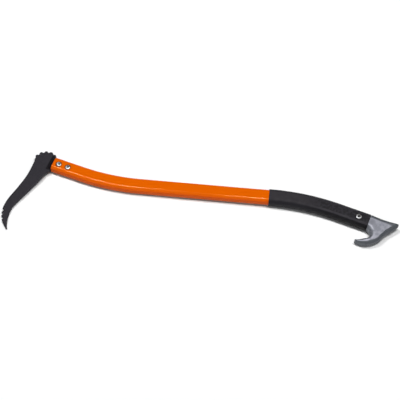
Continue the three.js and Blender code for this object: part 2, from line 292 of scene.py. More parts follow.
def applied(piece):
    """Bakes a piece's modifiers into its mesh."""
    bpy.context.view_layer.update()
    seen_piece = piece.evaluated_get(bpy.context.evaluated_depsgraph_get())
    mesh = bpy.data.meshes.new_from_object(seen_piece)
    old = piece.data
    piece.modifiers.clear()
    piece.data = mesh
    bpy.data.meshes.remove(old)


def even_shading(piece):
    """Lets large flat faces keep their own direction where they meet a rounded corner."""
    weigh = piece.modifiers.new("even_shading", "WEIGHTED_NORMAL")
    weigh.keep_sharp = True
    applied(piece)


print("edges of more than", round(math.degrees(smooth_angle)), "degrees stay sharp")

# %% [markdown]
# ## The handle's line
# A Bezier curve could hold the handle's line, but its bends wouldn't be true arcs, as a tube
# bender makes them. So the handle is walked from its head end: straight, bent to the left,
# straight, bent to the right, straight, with one radius for both bends. The walk gives a matrix
# for any distance along the handle, whose x axis runs along the tube: pins, head and guard use it
# too.

# %% Walk along the handle
head_run, middle_run, grip_run = 68, 290, 70
head_bend = math.radians(15.7)
grip_bend = math.radians(16.9)
bend_radius = 500
handle_runs = [
    (head_run, 0),
    (bend_radius * head_bend, head_bend),
    (middle_run, 0),
    (bend_radius * grip_bend, -grip_bend),
    (grip_run, 0),
]
handle_length = sum(length for length, turn in handle_runs)
along_z = Vector((0, 0, 1))


def bend_centre(turn):
    """Centre of a bend, seen from where the tube enters it."""
    return Vector((0, math.copysign(bend_radius, turn), 0))


def handle_place(distance):
    """Place and direction of the handle at a distance from its head end."""
    place = Matrix.Rotation(-head_bend, 4, "Z")
    for length, turn in handle_runs:
        run = min(distance, length)
        distance -= run
        if turn:
            centre = Matrix.Translation(bend_centre(turn))
            bent = Matrix.Rotation(turn * run / length, 4, "Z")
            place = place @ centre @ bent @ centre.inverted()
        else:
            place = place @ Matrix.Translation((run, 0, 0))
    return place


print("handle length", round(handle_length, 1), "mm")

# %% [markdown]
# ## An oval section
# The tube, its sleeve, the head's tang and the guard's spigot all have the same kind of section: a
# rectangle with large round corners. It could be drawn point by point, but a stretched cube whose
# four long edges are bevelled has exactly that section. Only its end face is kept, ready to be
# pulled along.


# %% Oval face
def oval_face(width, thickness, corner):
    """A bmesh with one oval face, square to x."""
    bm = bmesh.new()
    bmesh.ops.create_cube(bm, size=1)
    bmesh.ops.scale(bm, vec=(1, width, thickness), verts=bm.verts)
    long_edges = [e for e in bm.edges if abs(e.verts[0].co.x - e.verts[1].co.x) > 0.5]
    bmesh.ops.bevel(
        bm, geom=long_edges, offset=corner, segments=10, profile=0.5, affect="EDGES", material=-1
    )
    bm.normal_update()
    others = [f for f in bm.faces if f.normal.x < 0.9]
    bmesh.ops.delete(bm, geom=others, context="FACES")
    bmesh.ops.translate(bm, vec=(-0.5, 0, 0), verts=bm.verts)
    return bm


tube_width, tube_thickness, tube_corner = 32, 23, 9
trial = oval_face(tube_width, tube_thickness, tube_corner)
print("oval of", [round(v, 2) for v in box_of(trial)[1]], "with", len(trial.verts), "corners")
trial.free()

# %% [markdown]
# ## Bending a tube
# A curve with a bevel could draw the whole tube at once, but without a wall or true arcs. So the
# oval face is extruded along the straight runs and spun round each bend's centre, which is what a
# bender does to the real tube. Then both end faces go, and the skin gets its wall inwards.

# %% Pull a section along the handle
steps_per_degree = 1.5


def faces_of(geometry):
    """The faces among what an operator has made."""
    return [g for g in geometry if isinstance(g, bmesh.types.BMFace)]


def pulled_along_handle(bm, start, end):
    """Pulls the one face of bm along the handle, and returns its two end faces."""
    bmesh.ops.transform(bm, matrix=handle_place(start), verts=bm.verts)
    first = section = bm.faces[:]
    passed = 0
    for length, turn in handle_runs:
        run_start, run_end = max(start, passed), min(end, passed + length)
        passed += length
        if run_end <= run_start:
            continue
        place = handle_place(run_start)
        if turn:
            angle = turn * (run_end - run_start) / length
            made = bmesh.ops.spin(
                bm,
                geom=section,
                cent=place @ bend_centre(turn),
                axis=along_z,
                angle=angle,
                steps=max(2, round(abs(math.degrees(angle)) * steps_per_degree)),
            )
            section = faces_of(made["geom_last"])
        else:
            made = bmesh.ops.extrude_face_region(bm, geom=section)
            section = faces_of(made["geom"])
            forward = place.to_3x3() @ Vector((run_end - run_start, 0, 0))
            bmesh.ops.translate(bm, vec=forward, verts=section[0].verts)
    return first + section


def hollow(bm, ends, wall):
    """Opens both ends and gives the skin a wall that grows inwards."""
    bmesh.ops.delete(bm, geom=ends, context="FACES_ONLY")
    bmesh.ops.remove_doubles(bm, verts=bm.verts, dist=1e-4)
    bmesh.ops.recalc_face_normals(bm, faces=bm.faces)
    bmesh.ops.solidify(bm, geom=bm.faces[:], thickness=wall)


def round_rims(bm, radius):
    """Rounds the edges of both cut ends, the only ones that turn by more than a radian."""
    rims = [e for e in bm.edges if e.calc_face_angle(0) > 1]
    bmesh.ops.bevel(
        bm, geom=rims, offset=radius, segments=3, profile=0.5, affect="EDGES", material=-1
    )


bends = [round(math.degrees(turn), 1) for length, turn in handle_runs if turn]
print("bends of", bends, "degrees, in steps of", round(1 / steps_per_degree, 2))

# %% [markdown]
# ## The tube
# The tube's corners are a little tighter than the packed ones, and it ends a millimetre before the
# guard, out of sight in the sleeve. Its box is laid into the corner of the packed tube's box, and
# the matrix that does it moves every other piece in the same way.

# %% Tube
tube_wall, painted_corner, tube_rim, tube_gap = 2.5, 8.2, 0.9, 1
tube = oval_face(tube_width, tube_thickness, painted_corner)
hollow(tube, pulled_along_handle(tube, 0, handle_length - tube_gap), tube_wall)
round_rims(tube, tube_rim)
tube_low, tube_high = box_of(tube)
cad_low, cad_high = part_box("handle_tube")
to_row = Matrix.Scale(mm, 4)
own_corner = Vector((tube_low.x, tube_high.y, tube_low.z))
packed_corner = Vector((cad_low.x, cad_high.y, cad_low.z))
to_row.translation = packed_corner - own_corner * mm
print("tube box", [round(v, 2) for v in tube_high - tube_low], "mm")
print("packed box", [round(v / mm, 2) for v in cad_high - cad_low], "mm")

# %% [markdown]
# ## Drilling
# The pins pass through round holes. They could be modelled face by face, but a Boolean modifier
# cuts a drill's shape out of any piece. The result is kept as the piece's mesh, so that no drill
# is left in the scene. The tube's holes are drawn a little wider than the pins, and those at the
# head a trace nearer its end, because a narrow dark gap shows round each pin.


# %% Drill for the pins
def drilled(bm, holes):
    """Cuts round holes along z, each given as a radius and a distance along the handle."""
    drill = bmesh.new()
    for radius, distance in holes:
        place = Matrix.Translation(handle_place(distance).translation)
        bmesh.ops.create_cone(
            drill, cap_ends=True, segments=48, radius1=radius, radius2=radius,
            depth=60, matrix=place,
        )
    work, bit = held(bm, "work"), held(drill, "drill")
    cut = work.modifiers.new("drill", "BOOLEAN")
    cut.operation = "DIFFERENCE"
    cut.solver = "EXACT"
    cut.object = bit
    applied(work)
    released(bit).free()
    return released(work)


head_pins = [14, 36]
guard_pin = handle_length - 23
head_hole, head_hole_shift, guard_hole = 6.1, 0.3, 6.4
holes = [(head_hole, d - head_hole_shift) for d in head_pins] + [(guard_hole, guard_pin)]
tube = drilled(tube, holes)
bmesh.ops.transform(tube, matrix=to_row, verts=tube.verts)
handle_tube = finished(tube, "painted_tube", "handle_tube")
even_shading(handle_tube)

# %% [markdown]
# ## The sleeve
# The grip is a sleeve pulled over the last 223.5 mm of the tube. It could be a thicker stretch of
# the tube's skin, but a piece of its own has real rims. It is made like the tube, a little larger,
# and its two rims are rounded, as soft material is where it has been cut. A gap of 0.3 mm keeps
# its inside off the paint.

# %% Sleeve
sleeve_length, sleeve_wall, sleeve_gap = 223.5, 2.2, 0.3
sleeve_rim, sleeve_hole = 0.6, 6.3
sleeve_width, sleeve_thickness = tube_width + 2 * sleeve_wall, tube_thickness + 2 * sleeve_wall
sleeve = oval_face(sleeve_width, sleeve_thickness, tube_corner + sleeve_wall)
sleeve_ends = pulled_along_handle(sleeve, handle_length - sleeve_length, handle_length)
hollow(sleeve, sleeve_ends, sleeve_wall - sleeve_gap)
round_rims(sleeve, sleeve_rim)
sleeve = drilled(sleeve, [(sleeve_hole, guard_pin)])
bmesh.ops.transform(sleeve, matrix=to_row, verts=sleeve.verts)
grip_sleeve = finished(sleeve, "rubber_sleeve", "grip_sleeve")
even_shading(grip_sleeve)

# %% [markdown]
# ## The spring pins
# A spring pin is a strip of spring steel rolled into a ring that doesn't quite close. It is driven
# into a slightly smaller hole and holds by itself. A slotted cylinder would do from afar, but
# these ends catch the light, so the strip is rolled as the real one is: its section is a plate
# with rounded edges, and a spin of less than a full turn rolls it up. Its ends slope down a little
# towards their rims, and the slots of all three pins open to the far right.

# %% Pins
pin_wall, pin_edge, pin_slot, slot_side = 2, 0.55, 2, math.radians(50)
pin_proud, pin_dome = 1.3, 0.08


def spring_pin(diameter, length, distance):
    """A rolled pin round the z axis at a distance along the handle."""
    bm = bmesh.new()
    bmesh.ops.create_grid(bm, x_segments=1, y_segments=1, size=0.5)
    bmesh.ops.scale(bm, vec=(pin_wall, length, 1), verts=bm.verts)
    bmesh.ops.bevel(
        bm, geom=bm.verts[:], offset=pin_edge, segments=3, profile=0.5,
        affect="VERTICES", material=-1,
    )
    bmesh.ops.rotate(bm, matrix=Matrix.Rotation(math.pi / 2, 3, "X"), verts=bm.verts)
    bmesh.ops.translate(bm, vec=((diameter - pin_wall) / 2, 0, 0), verts=bm.verts)
    gap = 2 * pin_slot / diameter
    bmesh.ops.rotate(bm, matrix=Matrix.Rotation(slot_side + gap / 2, 3, "Z"), verts=bm.verts)
    bmesh.ops.spin(
        bm, geom=bm.faces[:], axis=along_z, cent=(0, 0, 0), angle=2 * math.pi - gap, steps=44
    )
    bmesh.ops.remove_doubles(bm, verts=bm.verts, dist=1e-4)
    bmesh.ops.recalc_face_normals(bm, faces=bm.faces)
    for vert in bm.verts:
        vert.co.z *= 1 - pin_dome * vert.co.to_2d().length / (length / 2)
    bmesh.ops.translate(bm, vec=handle_place(distance).translation, verts=bm.verts)
    bmesh.ops.transform(bm, matrix=to_row, verts=bm.verts)
    return bm


head_pin_length = tube_thickness + 2 * pin_proud
guard_pin_length = sleeve_thickness + 2 * pin_proud
pin_pieces = []
for name, diameter, length, distance in (
    ("head_pin_front", 10, head_pin_length, head_pins[0]),
    ("head_pin_rear", 10, head_pin_length, head_pins[1]),
    ("guard_pin", 11, guard_pin_length, guard_pin),
):
    pin = spring_pin(diameter, length, distance)
    pin_pieces.append(finished(pin, "rolled_" + name, name))

# %% [markdown]
# ## Outlines
# The head and the guard are flat shapes with flowing outlines. Their many points could be placed
# one by one, but a curve with automatic handles runs smoothly through a few of them, and becomes
# an outline of many short edges. Points that are marked sharp keep a corner: these are the notches
# and crests of the teeth.


# %% Smooth outlines
def smooth_outline(points, closed, fineness):
    """Points of a smooth line through (x, y) or (x, y, 'sharp') points."""
    curve = bpy.data.curves.new("outline", "CURVE")
    curve.dimensions = "2D"
    curve.fill_mode = "NONE"
    curve.resolution_u = fineness
    line = curve.splines.new("BEZIER")
    line.use_cyclic_u = closed
    line.bezier_points.add(len(points) - 1)
    for knot, (x, y, *mark) in zip(line.bezier_points, points):
        knot.co = (x, y, 0)
        knot.handle_left_type = knot.handle_right_type = "VECTOR" if mark else "AUTO"
    holder = bpy.data.objects.new("outline", curve)
    bpy.context.scene.collection.objects.link(holder)
    bpy.context.view_layer.update()
    mesh = bpy.data.meshes.new_from_object(holder)
    places = [v.co.copy() for v in mesh.vertices]
    bpy.data.objects.remove(holder)
    bpy.data.curves.remove(curve)
    bpy.data.meshes.remove(mesh)
    return places


arch = smooth_outline([(0, 0), (1, 1), (2, 0)], closed=False, fineness=4)
print("an arch through 3 points has", len(arch), "points")

# %% [markdown]
# ## Tang and neck
# Inside the tube the head goes on as an oval bar, the tang, with a tapered nose that slides in
# easily. In front of the tube it swells to a neck that thins out on the blade. Both are stubs: an
# oval face that is extruded from ring to ring and scaled to each ring's size. Their edges may stay
# rough, because one skin will smooth them with the blade.


# %% Tang and neck
def stub(corner, rings):
    """An oval bar along x: each ring is an x, a width and a thickness; corner rounds the first."""
    x, width, thickness = rings[0]
    bm = oval_face(width, thickness, corner)
    bmesh.ops.translate(bm, vec=(x, 0, 0), verts=bm.verts)
    section = bm.faces[:]
    for x, next_width, next_thickness in rings[1:]:
        made = bmesh.ops.extrude_face_region(bm, geom=section)
        section = faces_of(made["geom"])
        verts = section[0].verts
        shift = x - verts[0].co.x
        bmesh.ops.translate(bm, vec=(shift, 0, 0), verts=verts)
        bmesh.ops.scale(bm, vec=(1, next_width / width, next_thickness / thickness), verts=verts)
        width, thickness = next_width, next_thickness
    bmesh.ops.recalc_face_normals(bm, faces=bm.faces)
    return bm


end_play, neck_corner, nose_corner = 0.3, 7.5, 4.7
full_size, nose_size = (26.4, 17.4), (23.4, 14.4)
tang = stub(nose_corner, [(-52, *nose_size), (-49, *full_size), (end_play, *full_size)])
neck_rings = [(end_play, 31, 21.4), (2.2, 31, 20.6), (4.2, 30.6, 18), (6.2, 30, 13), (8.3, 29, 6)]
neck = stub(neck_corner, neck_rings)
print("tang of", len(tang.faces), "faces, neck of", len(neck.faces))

# %% [markdown]
# ## The head
# The blade could be sculpted, but its outline is what one knows it by: so it is cut from its
# outline, where x runs away from the tube and y towards the beak's tip, and extruded to its
# thickness. The crown's five teeth are short round studs set in an arc, about half sunk in the
# blade's edge, of which the first and the last are a little smaller. The plate gets thinner from
# the crown to the tip, which is done by squeezing it towards its middle plane.

# %% Blade outline
beak_reach = 185.5
crown_centre, crown_radius, crown_root, crown_gap = Vector((18, 5, 0)), 31.4, 28, 3.3

crown_base = [(crown_gap, -16.5, "sharp")] + [
    (crown_centre.x + crown_root * math.sin(a), crown_centre.y - crown_root * math.cos(a))
    for a in map(math.radians, (-15, 0, 15, 30, 45, 60, 74))
]
outer_edge = [
    (45.5, 0), (44.0, 9.3), (42.8, 23.3), (42.4, 38.2), (43.7, 56.9), (46.5, 75.2),
    (49.9, 92.7), (53.6, 110.8), (55.2, 123.1), (55.4, 132.4), (54.7, 142.9, "sharp"),
]
beak_teeth = [
    (50.0, 146.9, "sharp"), (53.0, 152.0, "sharp"), (46.2, 156.2, "sharp"),
    (49.7, 160.7, "sharp"), (41.2, 164.2, "sharp"), (44.3, 168.2, "sharp"),
]
beak_tip = [
    (39.1, 173.2), (33.6, 178.8), (28.0, 183.0), (24.0, 185.4), (23.2, 183.8),
]
inner_edge = [
    (26.0, 179.5), (29.1, 173.0), (32.5, 164.1), (35.1, 153.9), (36.6, 142.7), (36.7, 132.4),
    (34.3, 119.9), (28.4, 101.1), (20.7, 75.9), (13.4, 50.9), (10.0, 38.2), (6.6, 26.1),
    (0.3, 17.5, "sharp"),
]
blade_points = crown_base + outer_edge + beak_teeth + beak_tip + inner_edge
outline = smooth_outline(blade_points, closed=True, fineness=5)
print("blade outline of", len(outline), "points")

# %% Blade and crown
blade_thickness, beak_thickness = 9.4, 4.8
crown_first, crown_pitch, first_stud_inset = -24, 23.1, 1.2
stud_radii = (3.6, 4.4, 4.4, 4.4, 4.0)

blade = bmesh.new()
rim = blade.faces.new([blade.verts.new(p) for p in outline])
made = bmesh.ops.extrude_face_region(blade, geom=[rim])
lifted = [g for g in made["geom"] if isinstance(g, bmesh.types.BMVert)]
bmesh.ops.translate(blade, vec=(0, 0, blade_thickness), verts=lifted)
bmesh.ops.translate(blade, vec=(0, 0, -blade_thickness / 2), verts=blade.verts)
bmesh.ops.recalc_face_normals(blade, faces=blade.faces)
for tooth, stud_radius in enumerate(stud_radii):
    angle = math.radians(crown_first + crown_pitch * tooth)
    reach = crown_radius - stud_radius - (0 if tooth else first_stud_inset)
    place = crown_centre + reach * Vector((math.sin(angle), -math.cos(angle), 0))
    place.x = max(place.x, stud_radius + crown_gap)
    bmesh.ops.create_cone(
        blade, cap_ends=True, segments=40, radius1=stud_radius, radius2=stud_radius,
        depth=blade_thickness, matrix=Matrix.Translation(place),
    )


def blade_squeeze(y):
    """Share of the crown's thickness that the blade keeps at a reach y towards the beak's tip."""
    crown_top = crown_centre.y - crown_radius
    share = (y - crown_top) / (beak_reach - crown_top)
    return 1 + share * (beak_thickness / blade_thickness - 1)


for vert in blade.verts:
    vert.co.z *= blade_squeeze(vert.co.y)
print("blade and", len(stud_radii), "studs, box", [round(v, 1) for v in box_of(blade)[1]])

# %% [markdown]
# ## One skin
# A forging and a casting have no seams: a plate, a neck and a tang flow into each other. The parts
# are first put together roughly. Booleans would join them with sharp seams, so voxel remeshing
# wraps them in one even skin, and a few rounds of smoothing turn each corner into a small fillet
# or a soft edge, as the die or the mould leaves it.


# %% Wrap the head in one skin
def added(bm, other):
    """Puts the shells of another bmesh beside those of bm."""
    mesh = bpy.data.meshes.new("added")
    other.to_mesh(mesh)
    other.free()
    bm.from_mesh(mesh)
    bpy.data.meshes.remove(mesh)


def one_skin(bm, voxel, rounds):
    """Joins the overlapping shells of bm into one smooth closed skin."""
    holder = held(bm, "skin")
    wrap = holder.modifiers.new("wrap", "REMESH")
    wrap.mode = "VOXEL"
    wrap.voxel_size = voxel
    applied(holder)
    skin = released(holder)
    every_way = {"use_axis_x": True, "use_axis_y": True, "use_axis_z": True}
    for _ in range(rounds):
        bmesh.ops.smooth_vert(skin, verts=skin.verts, factor=0.5, **every_way)
    return skin


tang_hole = 5.3
added(blade, tang)
added(blade, neck)
head = one_skin(blade, voxel=0.5, rounds=2)
to_head = handle_place(0) @ Matrix.Rotation(math.pi, 4, "Z")
bmesh.ops.transform(head, matrix=to_head, verts=head.verts)
head = drilled(head, [(tang_hole, d) for d in head_pins])
bmesh.ops.transform(head, matrix=to_row, verts=head.verts)
forged_head = finished(head, "forged_head", "sappie_head")

# %% [markdown]
# ## The guard
# The guard is a casting with a flat face on each side and edges that are rolled over, widest in
# the notch and tightest at the hook's tip. A bevel has one width all round, so here each point of
# the outline holds the radius of its own roll, from the collar's far corner round the tail and the
# hook, and back through the notch.

# %% Guard outline
guard_points = [
    (0, 17.7, 10.6), (4.4, 17.9, 10.4), (11.9, 17.3, 10), (20.6, 16.8, 9.8), (30, 16.7, 9.2),
    (39.4, 17.1, 9), (49.4, 18.2, 9), (56.3, 19.2, 9), (59.7, 19.4, 9), (61.9, 18.4, 9),
    (62.5, 16.7, 9.5), (61.6, 14.0, 10), (59.4, 9.7, 10.6), (56.3, 4.5, 11), (50.6, -4.0, 11.4),
    (44.4, -12.6, 11.2), (38.8, -23.2, 9.0), (33.4, -34.8, 8.8), (26.9, -42.6, 9.5),
    (19.9, -48.5, 9.1), (12.5, -52.9, 7.7), (4.4, -55.4, 6.2), (-4.4, -56.6, 5.5),
    (-10, -56.1, 4.4), (-13.5, -54.8, 4.0), (-15.2, -53.4, 4.3), (-14.0, -52.3, 5),
    (-11.3, -51.2, 6.5), (-8.1, -49.5, 7.5), (-4.2, -47.2, 8), (-0.6, -44.7, 8), (4.0, -41.8, 7.6),
    (8.1, -38.6, 8.4), (10.8, -35.1, 9.2), (11.6, -30.6, 10.2), (10.3, -26.1, 10.9),
    (6.9, -21.8, 11.7), (3.0, -19.3, 11.8), (0, -17.7, 11.4),
]
places = [(x, y) for x, y, roll in guard_points]
radii = [(step, roll) for step, (x, y, roll) in enumerate(guard_points)]
guard_line = smooth_outline(places, closed=False, fineness=4)
rolls = [p.y for p in smooth_outline(radii, closed=False, fineness=4)]
print("guard outline of", len(guard_line), "points and", len(rolls), "radii")

# %% [markdown]
# ## The guard's wall
# The wall is built from rows of edges. They swing out from the lower face in a quarter circle, go
# up, and swing in again to the upper face. Neighbouring rows are bridged, both flat faces and the
# open end at the collar are filled, and one skin smooths the whole.


# %% Rolled wall
def inward_ways(line):
    """For each point of an open line, the way into the shape; its ends stay square to x."""
    ways = []
    for before, point, after in zip([None, *line], line, [*line[1:], None]):
        if before is None or after is None:
            ways.append(Vector((0, -math.copysign(1, point.y), 0)))
        else:
            along = after - before
            ways.append(Vector((along.y, -along.x, 0)).normalized())
    return ways


def chain_of(bm, places):
    """A row of new edges through some places."""
    verts = [bm.verts.new(p) for p in places]
    return [bm.edges.new(pair) for pair in zip(verts, verts[1:])]


collar_thickness, roll_steps = 26.2, 8
guard = bmesh.new()
ways = inward_ways(guard_line)
angles = [math.pi / 2 * step / roll_steps for step in range(roll_steps + 1)]
levels = [(-1, a) for a in reversed(angles)] + [(1, a) for a in angles]
rows = []
for side, angle in levels:
    places = []
    for point, way, roll in zip(guard_line, ways, rolls):
        place = point + way * roll * (1 - math.cos(angle))
        place.z = side * (collar_thickness / 2 - roll * (1 - math.sin(angle)))
        places.append(place)
    rows.append(chain_of(guard, places))
for lower, upper in zip(rows, rows[1:]):
    bmesh.ops.bridge_loops(guard, edges=lower + upper)
for row in (rows[0], rows[-1]):
    closing = guard.edges.new((row[0].verts[0], row[-1].verts[1]))
    bmesh.ops.edgeloop_fill(guard, edges=[*row, closing])
open_edges = [e for e in guard.edges if len(e.link_faces) == 1]
bmesh.ops.edgeloop_fill(guard, edges=open_edges)
bmesh.ops.recalc_face_normals(guard, faces=guard.faces)
bmesh.ops.translate(guard, vec=(end_play, 0, 0), verts=guard.verts)
guard_skin = one_skin(guard, voxel=0.55, rounds=3)
print("guard skin of", len(guard_skin.faces), "faces")

# %% [markdown]
# ## Thinner ends
# The guard is nearly as thick as the sleeve at its collar, and thinner at the tail and at the
# hook. The finished skin is squeezed for that, so that its faces stay smooth: the upper side by a
# little more than the lower one. Then it gets its spigot, which fills the tube as the tang does.

# %% Squeeze, spigot and hole
collar_width, guard_reach, hook_drop = 35.2, 62.5, 56.7
upper_ends, lower_ends = (17, 18), (20, 20)


def guard_squeeze(x, y, tail_thickness, hook_thickness):
    """Share of the collar's thickness that a side keeps, to fit a thickness at tail and hook."""
    tail = min(max(x / guard_reach, 0), 1) * (1 - tail_thickness / collar_thickness)
    below = (-y - collar_width / 2) / (hook_drop - collar_width / 2)
    hook = min(max(below, 0), 1) * (1 - hook_thickness / collar_thickness)
    return 1 - math.hypot(tail, hook)


for vert in guard_skin.verts:
    ends = upper_ends if vert.co.z > 0 else lower_ends
    vert.co.z *= guard_squeeze(vert.co.x, vert.co.y, *ends)
spigot_hole = 5.8
spigot = stub(nose_corner, [(-37, *nose_size), (-34, *full_size), (3, *full_size)])
added(guard_skin, spigot)
bmesh.ops.transform(guard_skin, matrix=handle_place(handle_length), verts=guard_skin.verts)
guard_skin = drilled(guard_skin, [(spigot_hole, guard_pin)])
bmesh.ops.transform(guard_skin, matrix=to_row, verts=guard_skin.verts)
cast_guard = finished(guard_skin, "cast_guard", "end_guard")

# %% [markdown]
# ## Finishes
# Each finish is a small tree of nodes round one Principled shader. A painted image would need a
# file and would show its seams. These patterns read the object's own coordinates, in metres, so
# they stay on the piece from every side. A pattern changes the colour a little, the roughness a
# little, and the surface through a Bump node, as a real finish does. Dirt and wear that belong to
# one place, such as a pin's rim, are painted round that place.


# %% Helpers for finishes
class Finish:
    """A material with a Principled shader, and short calls for the nodes before it."""

    def __init__(self, name, color, roughness, metallic=0.0):
        self.material = bpy.data.materials.new(name)
        self.material.use_nodes = True
        self.tree = self.material.node_tree
        self.shader = self.tree.nodes["Principled BSDF"]
        self.shader.inputs["Base Color"].default_value = (*color, 1)
        self.shader.inputs["Roughness"].default_value = roughness
        self.shader.inputs["Metallic"].default_value = metallic
        self.place = self.tree.nodes.new("ShaderNodeTexCoord").outputs["Object"]

    def node(self, kind, **settings):
        """A new node with its settings."""
        made = self.tree.nodes.new(kind)
        for key, value in settings.items():
            setattr(made, key, value)
        return made

    def noise(self, size, detail=3.0):
        """Cloudy noise whose blobs are about size metres across."""
        made = self.node("ShaderNodeTexNoise")
        made.inputs["Scale"].default_value = 1 / size
        made.inputs["Detail"].default_value = detail
        made.inputs["Roughness"].default_value = 0.55
        link(self.tree, self.place, made.inputs["Vector"])
        return made.outputs["Fac"]

    def cells(self, size):
        """How far a point lies from the centre of its cell, in cells of about size metres."""
        made = self.node("ShaderNodeTexVoronoi", feature="F1")
        made.inputs["Scale"].default_value = 1 / size
        link(self.tree, self.place, made.inputs["Vector"])
        return made.outputs["Distance"]

    def ramp(self, value, low, high, to_low=0.0, to_high=1.0):
        """A value between low and high, spread from to_low to to_high."""
        made = self.node("ShaderNodeMapRange", interpolation_type="SMOOTHSTEP")
        limits = {"From Min": low, "From Max": high, "To Min": to_low, "To Max": to_high}
        for key, number in limits.items():
            made.inputs[key].default_value = number
        link(self.tree, value, made.inputs["Value"])
        return made.outputs["Result"]

    def combine(self, kind, first, second):
        """Two values joined by a Math node; each is a socket or a number."""
        made = self.node("ShaderNodeMath", operation=kind)
        for socket, value in zip(made.inputs, (first, second)):
            if isinstance(value, (int, float)):
                socket.default_value = value
            else:
                link(self.tree, value, socket)
        return made.outputs[0]

    def band(self, value, start, full, fading, end):
        """1 where a value lies between full and fading, and 0 below start or above end."""
        rising = self.ramp(value, start, full)
        return self.combine("MULTIPLY", rising, self.ramp(value, fading, end, 1.0, 0.0))

    def mix(self, share, first, second):
        """A colour between two colours; each is a socket or an (r, g, b)."""
        made = self.node("ShaderNodeMix", data_type="RGBA")
        link(self.tree, share, made.inputs["Factor"])
        for socket, value in ((made.inputs["A"], first), (made.inputs["B"], second)):
            if isinstance(value, tuple):
                socket.default_value = (*value, 1)
            else:
                link(self.tree, value, socket)
        return made.outputs["Result"]

    def offset(self, place, axis):
        """How far a point lies from a place, in metres, measured along one way at that place."""
        made = self.node("ShaderNodeVectorMath", operation="DOT_PRODUCT")
        link(self.tree, self.place, made.inputs[0])
        way = place.to_3x3().normalized() @ Vector(axis)
        made.inputs[1].default_value = way
        return self.combine("SUBTRACT", made.outputs["Value"], way.dot(place.translation))

    def within(self, place, axis, near, far):
        """1 within near metres of a place, to both sides along an axis, and 0 beyond far."""
        apart = self.combine("ABSOLUTE", self.offset(place, axis), 0.0)
        return self.ramp(apart, near, far, 1.0, 0.0)

    def around(self, centre, near, far, most=1.0):
        """most within near metres of an upright line through a place, and 0 beyond far."""
        level = self.node("ShaderNodeVectorMath", operation="MULTIPLY")
        link(self.tree, self.place, level.inputs[0])
        level.inputs[1].default_value = (1, 1, 0)
        apart = self.node("ShaderNodeVectorMath", operation="DISTANCE")
        link(self.tree, level.outputs[0], apart.inputs[0])
        apart.inputs[1].default_value = (centre.x, centre.y, 0)
        return self.ramp(apart.outputs["Value"], near, far, most, 0.0)

    def upward(self):
        """How much the surface faces up: 1 on top, 0 on a wall, -1 underneath."""
        apart = self.node("ShaderNodeSeparateXYZ")
        normal = self.node("ShaderNodeNewGeometry").outputs["Normal"]
        link(self.tree, normal, apart.inputs[0])
        return apart.outputs["Z"]

    def paint(self, color):
        """Colours the surface."""
        link(self.tree, color, self.shader.inputs["Base Color"])

    def dull_by(self, value):
        """Makes the surface matt: 0 is a mirror and 1 is chalk."""
        link(self.tree, value, self.shader.inputs["Roughness"])

    def gloss_by(self, value):
        """Sets how strong the highlights are."""
        link(self.tree, value, self.shader.inputs["Specular IOR Level"])

    def relief(self, height, depth):
        """Bumps of a depth in metres from a height between 0 and 1."""
        made = self.node("ShaderNodeBump")
        made.inputs["Distance"].default_value = depth
        made.inputs["Strength"].default_value = 1.0
        link(self.tree, height, made.inputs["Height"])
        link(self.tree, made.outputs["Normal"], self.shader.inputs["Normal"])


def wear(piece, finish):
    """Gives a piece its finish."""
    piece.data.materials.clear()
    piece.data.materials.append(finish.material)
    print(piece.name, "wears", finish.material.name)


print("calls of a finish:", [name for name in vars(Finish) if not name.startswith("_")])

# %% [markdown]
# ## Orange powder coat
# The tube is powder coated: a deep, even orange with a thin gloss. The gloss is tinted and lies on
# the flats and where they start to round, which gives the narrow bright line without washing out
# the walls. It is stronger just before the sleeve, where the hand rubs the coat. The coat has a
# faint orange peel and its colour drifts by a few per cent. Its walls are painted a slightly
# deeper
# orange and its underside a dark brown: painted shade. A dark ring, a little off-centre, is
# painted
# round each pin: painted shade of the gap round the pin.

# %% Orange coat
orange = Finish("orange_powder_coat", (0.70, 0.11, 0.0), 0.12)
shaded_side_coat, shaded_under_coat, pin_gap_shade = (0.71, 0.101, 0.006), (0.35, 0.155, 0.09), (0.11, 0.04, 0.015)
gap_shade_shift = Vector((-0.6, -0.7, 0))

up = orange.upward()
level = orange.combine("ABSOLUTE", up, 0.0)
flat_coat = orange.mix(orange.noise(0.03), (0.72, 0.116, 0.0), (0.67, 0.102, 0.0))
# The walls' deeper orange and the underside's dark brown are painted shade.
coat = orange.mix(orange.ramp(level, 0.45, 0.88), shaded_side_coat, flat_coat)
coat = orange.mix(orange.ramp(up, -0.6, 0.2), shaded_under_coat, coat)
# A dark ring, a little off-centre, is painted round each pin: painted shade of the gap.
for distance in (*head_pins, guard_pin):
    hole = to_row @ (handle_place(distance).translation + gap_shade_shift)
    coat = orange.mix(orange.around(hole, 0.0066, 0.0078, 0.75), coat, pin_gap_shade)
orange.paint(coat)
orange.dull_by(orange.ramp(orange.noise(0.012), 0.3, 0.7, 0.1, 0.125))
orange.shader.inputs["Specular Tint"].default_value = (1, 0.66, 0.3, 1)
orange.shader.inputs["Coat Weight"].default_value = 0.05
orange.shader.inputs["Coat Roughness"].default_value = 0.04
sleeve_start = to_row @ handle_place(handle_length - sleeve_length).translation
polished = orange.around(sleeve_start, 0.06, 0.13)
shine = orange.ramp(level, 0.7, 0.93, 0.0, 0.24)
orange.gloss_by(orange.combine("MULTIPLY", shine, orange.ramp(polished, 0.0, 1.0, 1.0, 1.7)))
orange.relief(orange.noise(0.0022, 2.0), 0.000015)
wear(handle_tube, orange)

# %% [markdown]
# ## Black sleeve
# The sleeve is dull black rubber with fine pebbles that keep the hand from slipping. They are too
# small to model, so the Bump node draws them from round cells. Over the last ten centimetres and a
# little beyond it is grimy and mottled. Its walls, and its underside more, are painted darker than
# its flats: painted shade. The line where a grimy flat starts to round is painted a little
# lighter:
# rubbed there, and also a painted highlight.

# %% Rubber
rubber = Finish("pebbled_rubber", (0.022, 0.021, 0.024), 0.7)
rubbed_highlight_line, shaded_underneath = (0.028, 0.0258, 0.0312), (0.005, 0.005, 0.006)

